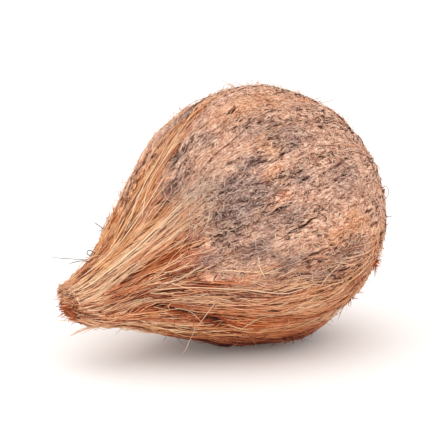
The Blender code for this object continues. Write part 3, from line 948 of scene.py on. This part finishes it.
# %% Strew dark flecks
# Dark flecks stand in for the shade of small holes in the felt: painted shade
# They lie in short rows along the fibres, about this long and this wide
ROW_LENGTH, ROW_WIDTH = 6 * MM, 1.5 * MM
POINTS, rows, in_row = 3, 300, 8
row_run, row_angle = scatter_places(rows, on_hole_shaded_felt)
number = rows * in_row
along, across = rng.normal(0, 1, (2, number))
run = np.clip(np.repeat(row_run, in_row) + ROW_LENGTH * along, 0, RUN_LENGTH)
radius = np.maximum(outline_radius(station_of(run)), 8 * MM)
angle = np.repeat(row_angle, in_row) + ROW_WIDTH * across / radius
length = rng.uniform(1.2, 3.8, number) * MM
runs, angles = grow(run, angle, rng.normal(0, 0.3, number), length, POINTS, 0.2, 0.5)
lift = each(0.3, 0.8, number) * MM
widths = each(0.3, 0.62, number) * MM * np.array([0.5, 1, 0.4])
tint = each(0, 0.1, number)
lay("dark_flecks", runs, angles, lift, widths, tint, short_coir, patchy=0.4)

# %% Curl the longer hairs
POINTS, number, tangled = 7, 2300, 300
run, angle = scatter_places(number, on_felt)
# The first ones are a tangle over the far end of the shoulder lock
run[:tangled] = run_of(rng.normal(46, 7, tangled) * MM)
angle[:tangled] = np.radians(rng.normal(42, 7, tangled))
on_lock = 1.2 * (np.arange(number) < tangled)[:, None]
heading = rng.uniform(0, FULL_TURN, number)
runs, angles = grow(run, angle, heading, rng.gamma(4, 1.3, number) * MM, POINTS, 0.2, 1.1)
loop = rng.gamma(2, 0.4, number)[:, None] * arch(POINTS) - 0.3 * (1 - arch(POINTS))
lift = (loop + 0.1 + on_lock) * MM
tint = 0.6 + 0.4 * rng.beta(2, 1.6, number)[:, None]
widths = each(0.16, 0.28, number) * MM * taper(POINTS, 0.5, 0.3)
lay("curly_hairs", runs, angles, lift, widths, tint, short_coir, crossing=0.4, patchy=0.35)

# %% [markdown]
# ## Fuzz
#
# Against a bright background the outline of the nut is soft, because short hairs stand out of it all
# over. They are so thin that each only darkens a part of a pixel.

# %% Raise the fuzz
POINTS, number = 4, 3500
run, angle = scatter_places(number, lambda station, angle: 1 - 0.65 * combed_share(station, angle))
length = rng.gamma(2.2, 1.5, number) * MM
t = np.linspace(0, 1, POINTS)
runs, angles = grow(run, angle, rng.uniform(0, FULL_TURN, number), length, POINTS, 0.2, 0.6)
lift = length[:, None] * each(0.35, 1, number) * t**1.15 - 0.2 * MM * (1 - t)
widths = each(0.13, 0.27, number) * MM * taper(POINTS, 1, 0.25)
tint = each(0.2, 0.85, number)
lay("fuzz", runs, angles, lift, widths, tint, short_coir)

# %% [markdown]
# ## The tuft's broken end
#
# The tuft ends where the fibres were torn off. Its face is a bundle of red-brown stubs of different
# lengths, with dark gaps between them. Round its rim, wisps of the outer fibres reach past it.

# %% Set the stubs
POINTS, number = 4, 480
END_RADIUS = 6.6 * MM
# A sunflower pattern spreads them evenly
share = np.sqrt((np.arange(number) + 0.5) / number)
angle = np.arange(number) * math.radians(137.5) + rng.normal(0, 0.2, number)
root = section_point(TUFT_END - 1.2 * MM + END_BULGE * (1 - share**2), angle, share * END_RADIUS)
outward = np.cos(angle)[:, None] * TOPWARD + np.sin(angle)[:, None] * SIDEWARD
toward = AXIS + outward * (0.05 + 0.25 * share[:, None]) + rng.normal(0, 0.28, (number, 3))
bend = rng.normal(0, 0.3, (number, 3))
length = rng.uniform(1.2, 3.6, number)[:, None] * MM
steps = np.linspace(0, 1, POINTS)[:, None]
paths = root[:, None] + length[:, None] * (toward[:, None] * steps + bend[:, None] * steps**2)
widths = each(0.25, 0.6, number) * MM * taper(POINTS, 1, 0.5)
# Those on the upper side are paler
pale = smooth_step(-0.2, 0.5, share * np.cos(angle))[:, None]
# The stubs are darker at their roots: painted shade in the gaps between them
tint = (each(0.1, 0.8, number) + 0.3 * pale) * np.array([0.5, 0.8, 1, 1])
fibre_piece("tuft_end_stubs", paths, widths, {"tint": tint, "rust_and_low_shade": 1 - pale}, combed_coir)

# %% Set the wisps round them
POINTS, number = 7, 900
run = RUN_LENGTH - rng.uniform(3, 18, number) * MM
angle = np.radians(rng.normal(0, 80, number))
over_end = rng.gamma(2, 0.75, number) * MM
length = RUN_LENGTH - run + over_end
runs, angles = grow(run, angle, rng.normal(0, 0.16, number), length, POINTS, 0.2, 0.25)
t = np.linspace(0, 1, POINTS)
# Most wisps bend in over the broken end, those on the lower half the most, and a few bend out
bends_in = each(0, 1, number) < 0.88
below = smooth_step(0.8, 1.6, np.abs(angle))[:, None]
bend_in = -(0.3 + below) * over_end[:, None]
bend = np.where(bends_in, bend_in, rng.gamma(1.5, 0.5, number)[:, None] * MM)
lift = 0.9 * MM * (1 - 0.8 * (1 - t) ** 2) + bend * t**4
widths = each(0.18, 0.42, number) * MM * taper(POINTS, 0.6, 0.3)
tint = (0.35 + 0.6 * rng.beta(2, 1.5, number)[:, None]) * (1.05 - 0.6 * below * t**4)
lay("tuft_end_wisps", runs, angles, lift, widths, tint, combed_coir)

# %% [markdown]
# ## Stray hairs
#
# A few hairs have come loose and are seen one by one: some lie across the strands, and some stand out
# from the outline. Those that lie are given by places on the nut. Those that stand out are given by
# their root and by how far they go to the right, up and towards the viewer.

# %% Place the stray hairs
# Width mm, tint, lift mm, then (station mm, angle deg) places
LAID_HAIRS = (
    (0.35, 1, 0.8, ((74.2, 112.5), (71.3, 115.5), (68.4, 118.5))),
    (0.4, 1, 1.2, ((66, 115.5), (62.9, 117.5), (58.7, 122.5), (54.1, 132))),
    (0.32, 1, 1, ((68.4, 107.5), (68.6, 113), (67.5, 118.5))),
    (0.32, 0.95, 1.4, ((52.4, 110), (54, 117), (57.1, 133))),
    (0.4, 1, 1, ((39, 134.5), (31, 126), (24.4, 122.5))),
    (0.55, 1, 1.2, ((33.2, 86.5), (33.6, 92), (31.5, 98.5))),
    (0.4, 0.95, 1, ((-3.1, 101), (3, 104), (8, 108))),
    (0.45, 0.95, 1.2, ((6.4, 124.5), (6.4, 120.5), (3, 118))),
    (0.5, 1, 1, ((73.4, 90), (66.7, 92.5), (61.2, 94.5), (49.9, 99.5), (40.3, 102.5))),
    (0.45, 1, 1, ((42, 102), (30.2, 106), (22.7, 108), (12, 107))),
    (0.5, 1, 1.6, ((100, 44), (84, 40), (66, 40), (50, 38))),
    (0.45, 1, 1.6, ((96, 12), (80, 17), (62, 17), (44, 12))),
    (0.45, 1, 1.3, ((73, 13), (60.4, 1.5), (47.8, -8.5))),
    (0.4, 1, 1.3, ((66, 20.5), (56.2, 6), (44.1, 3), (34, 1))),
    (0.4, 0.95, 1.1, ((46, 0), (38.6, -1), (31.9, -2), (17.3, -7))),
    (0.35, 1, 1.2, ((68, 8), (58, -2), (44, -5), (30, -8))),
)
# Root (station mm, angle deg), width mm, tint, weathered, then (right, up, towards the viewer) in mm
STANDING_HAIRS = (
    (70.5, -44, 0.5, 0.15, 1, ((-2.4, 1.9, 0), (-5.6, 4, 0))),
    (89.3, -8, 0.45, 0.2, 1, ((-3, 1.2, 1), (-7, 0.8, 0), (-11, -0.4, 0))),
    (86, -30, 0.36, 0.3, 1, ((-6, 0.2, 0), (-12, 0.6, 0), (-19, 1.2, 0))),
    (83.5, -21, 0.5, 0.15, 1, ((-2, 1.6, 0), (-4, 2.4, 1), (-4.8, 0.8, 1), (-3, -0.4, 0), (-1, 0.6, 0))),
    (106, 36, 0.55, 0.4, 1, ((-3.4, -1, 0), (-7, -2, 0))),
    (106, -10, 0.18, 0.6, 1, ((-1.6, 2, 0), (-3, 1.2, 0), (-4, -1, 0))),
    (-51, 81.5, 0.3, 0.3, 1, ((2, 0.8, 0), (3.2, -1.4, 0), (2.6, -4.2, 0), (1.2, -5.4, 0))),
    (-48.5, 101, 0.35, 0.3, 1, ((1.6, 0.4, 0), (3, 0.2, 0))),
    (57.1, 133, 0.32, 0.9, 0.4, ((-0.6, -3.6, 0.6), (-2.8, -8, 0.6), (-4, -11, 0.4), (-6.6, -14.6, 0))),
    (33, 154, 0.3, 0.8, 0.5, ((-2.6, -1.6, 0), (-5, -2.4, 0))),
    (8.5, 130, 0.3, 0.8, 0.4, ((1.6, 2.6, 2), (3.4, 4.6, 2))),
    (84.7, 133.5, 0.6, 0.7, 0.2, ((-11.5, -1.9, 1), (-20.2, -4, 1), (-26.2, -6.9, 0))),
    (84.7, 136, 0.5, 0.95, 0.2, ((-11.5, -1.3, 1), (-20, -3, 1), (-25.6, -6, 0))),
    (82, 131, 0.45, 0.85, 0.1, ((-11, -2.2, 1), (-19, -3.6, 1), (-24.6, -6.4, 0))),
    (88, 137, 0.4, 0.9, 0.2, ((-9, -1.5, 1), (-15, -3, 1), (-20.6, -5.6, 0))),
    (100, 140, 0.35, 0.8, 0.2, ((-5, -0.4, 1), (-11, 0.2, 0), (-16, -0.4, 0))),
    (104, 150, 0.3, 0.5, 0.2, ((-4, 0.2, 0), (-8.5, 0.6, 0))),
)


def through(points, count):
    """A smooth path through a few points."""
    points = np.array(points, float)
    padded = np.concatenate([[2 * points[0] - points[1]], points, [2 * points[-1] - points[-2]]])
    t = np.linspace(0, len(points) - 1, count)
    i = np.minimum(t.astype(int), len(points) - 2)
    u = (t - i)[:, None]
    a, b, c, d = (padded[i + k] for k in range(4))
    return b + 0.5 * u * (c - a + u * (2 * a - 5 * b + 4 * c - d + u * (3 * (b - c) + d - a)))


POINTS = 10
paths, looks = [], []
for width, tint, lift, line in LAID_HAIRS:
    station, angle = np.array(line).T
    places = husk_point(run_of(station * MM), np.radians(angle), (lift + 0.5) * MM)
    paths.append(through(places, POINTS))
    looks.append((width, tint, 0))
picture_axes = np.array([right, up, back])
for station, angle, width, tint, weathered, offsets in STANDING_HAIRS:
    root = husk_point(np.array([run_of(station * MM)]), np.radians([angle]), 0.2 * MM)
    paths.append(through(root + np.array([(0, 0, 0), *offsets]) * MM @ picture_axes, POINTS))
    looks.append((width, tint, weathered))
width, tint, weathered = (np.array(column)[:, None] for column in zip(*looks))
paths = np.array(paths)
paths[..., 2] = np.maximum(paths[..., 2], 0.4 * MM)
widths = width * MM * taper(POINTS, 1, 0.35)
fibre_piece("stray_hairs", paths, widths, {"tint": tint, "weathered": weathered}, combed_coir)

# %% [markdown]
# ## Tatters
#
# In a few places a scrap of torn husk hangs on as a bundle of short curled bristles. The clearest are
# at the right edge, where it shows orange, and along the lower edge.

# %% Curl the tatters
# Station mm, angle deg, bristles, reach mm, length mm, tint, golden
TATTERS = (
    (-38, 124, 46, 3.5, 4.2, 0.5, 1), (-48, 100, 8, 2, 3, 0.35, 0), (-51, 84, 10, 3, 2.6, 0.35, 0),
    (-23, 138, 14, 3, 3.4, 0.5, 0.3), (9.7, 150, 60, 6, 3.4, 0.25, 0.2), (2, 146, 22, 3, 2.8, 0.4, 0.3),
    (28, 154, 30, 6, 2.4, 0.2, 0), (79, -26, 56, 7, 3.4, 0.5, 0.4), (70, -40, 44, 5, 3.4, 0.35, 0.2),
    (-44, 21, 16, 7, 3.6, 0.5, 0),
    (-26, 17, 12, 7, 3, 0.5, 0), (60, -22, 16, 5, 2.8, 0.5, 0.2), (-30, 140, 14, 5, 3.2, 0.5, 0.4),
    (-20, -70, 30, 5, 3.6, 0.4, 0.3), (10, -120, 30, 5, 3.6, 0.4, 0.3), (-50, -30, 24, 5, 3.4, 0.4, 0),
)
POINTS = 6
bristles = [row[2] for row in TATTERS]
columns = [np.repeat(values, bristles) for values in zip(*TATTERS)]
station, angle, _, reach, length, tint, golden = columns
number = len(station)
run = run_of((station + reach * rng.normal(0, 0.4, number)) * MM)
angle = np.radians(angle) + reach * rng.normal(0, 0.4, number) * MM / outline_radius(station * MM)
length = length * rng.uniform(0.5, 1.4, number) * MM
runs, angles = grow(run, angle, rng.uniform(0, FULL_TURN, number), length, POINTS, 0.2, 1.3)
t = np.linspace(0, 1, POINTS)
lift = length[:, None] * each(0.35, 0.95, number) * t - 0.3 * MM * (1 - t)
paths = husk_point(runs, angles, lift)
paths[..., 2] = np.maximum(paths[..., 2], LOWEST_PATH)
widths = each(0.2, 0.5, number) * MM * taper(POINTS, 1, 0.3)
tint = np.clip(tint[:, None] + each_normal(0.2, number), 0, 1)
fields = {"tint": tint, "golden": golden[:, None], "rust_and_low_shade": 0.2}
fibre_piece("tatters", paths, widths, fields, combed_coir)

# %% [markdown]
# ## The stage
#
# The photograph has a white ground and soft light from all round, so the only shadow is a soft one
# under the nut. The white is overexposed, and the shadow is warm and never black. A sheet that glows a
# little, as if lit from below, gives the same.

# %% Set the floor and the lights
bpy.ops.object.select_all(action="DESELECT")
bpy.ops.mesh.primitive_plane_add(size=8, location=(0, 0, -0.3 * MM))
floor = bpy.context.object
floor.name = "pale_floor"
sheet, shader = new_material("matt white acrylic sheet", 0.95, 0.1)
glow = {"Emission Color": colour("#FFDCCB"), "Emission Strength": 0.075}
set_inputs(shader, {"Base Color": colour("#DEDCDA"), **glow})
floor.data.materials.append(sheet)

world = bpy.data.worlds.new("white_studio")
bpy.context.scene.world = world
world.use_nodes = True
set_inputs(world.node_tree.nodes["Background"], {"Color": colour("#FFFFFF"), "Strength": 1.57})

# A square softbox, 2 m wide, that faces the nut
SOFTBOX_PLACE = Vector((-0.8, -0.3, 1.2))
bpy.ops.object.light_add(type="AREA", location=SOFTBOX_PLACE)
softbox = bpy.context.object
softbox.name = "high_left_softbox"
softbox.rotation_euler = (Vector(BALL_MIDDLE) - SOFTBOX_PLACE).to_track_quat("-Z", "Y").to_euler()
softbox.data.size = 2
softbox.data.energy = 5
bpy.context.scene.view_settings.view_transform = "Standard"
print("a sheet, a white world and one softbox of", softbox.data.energy, "W")
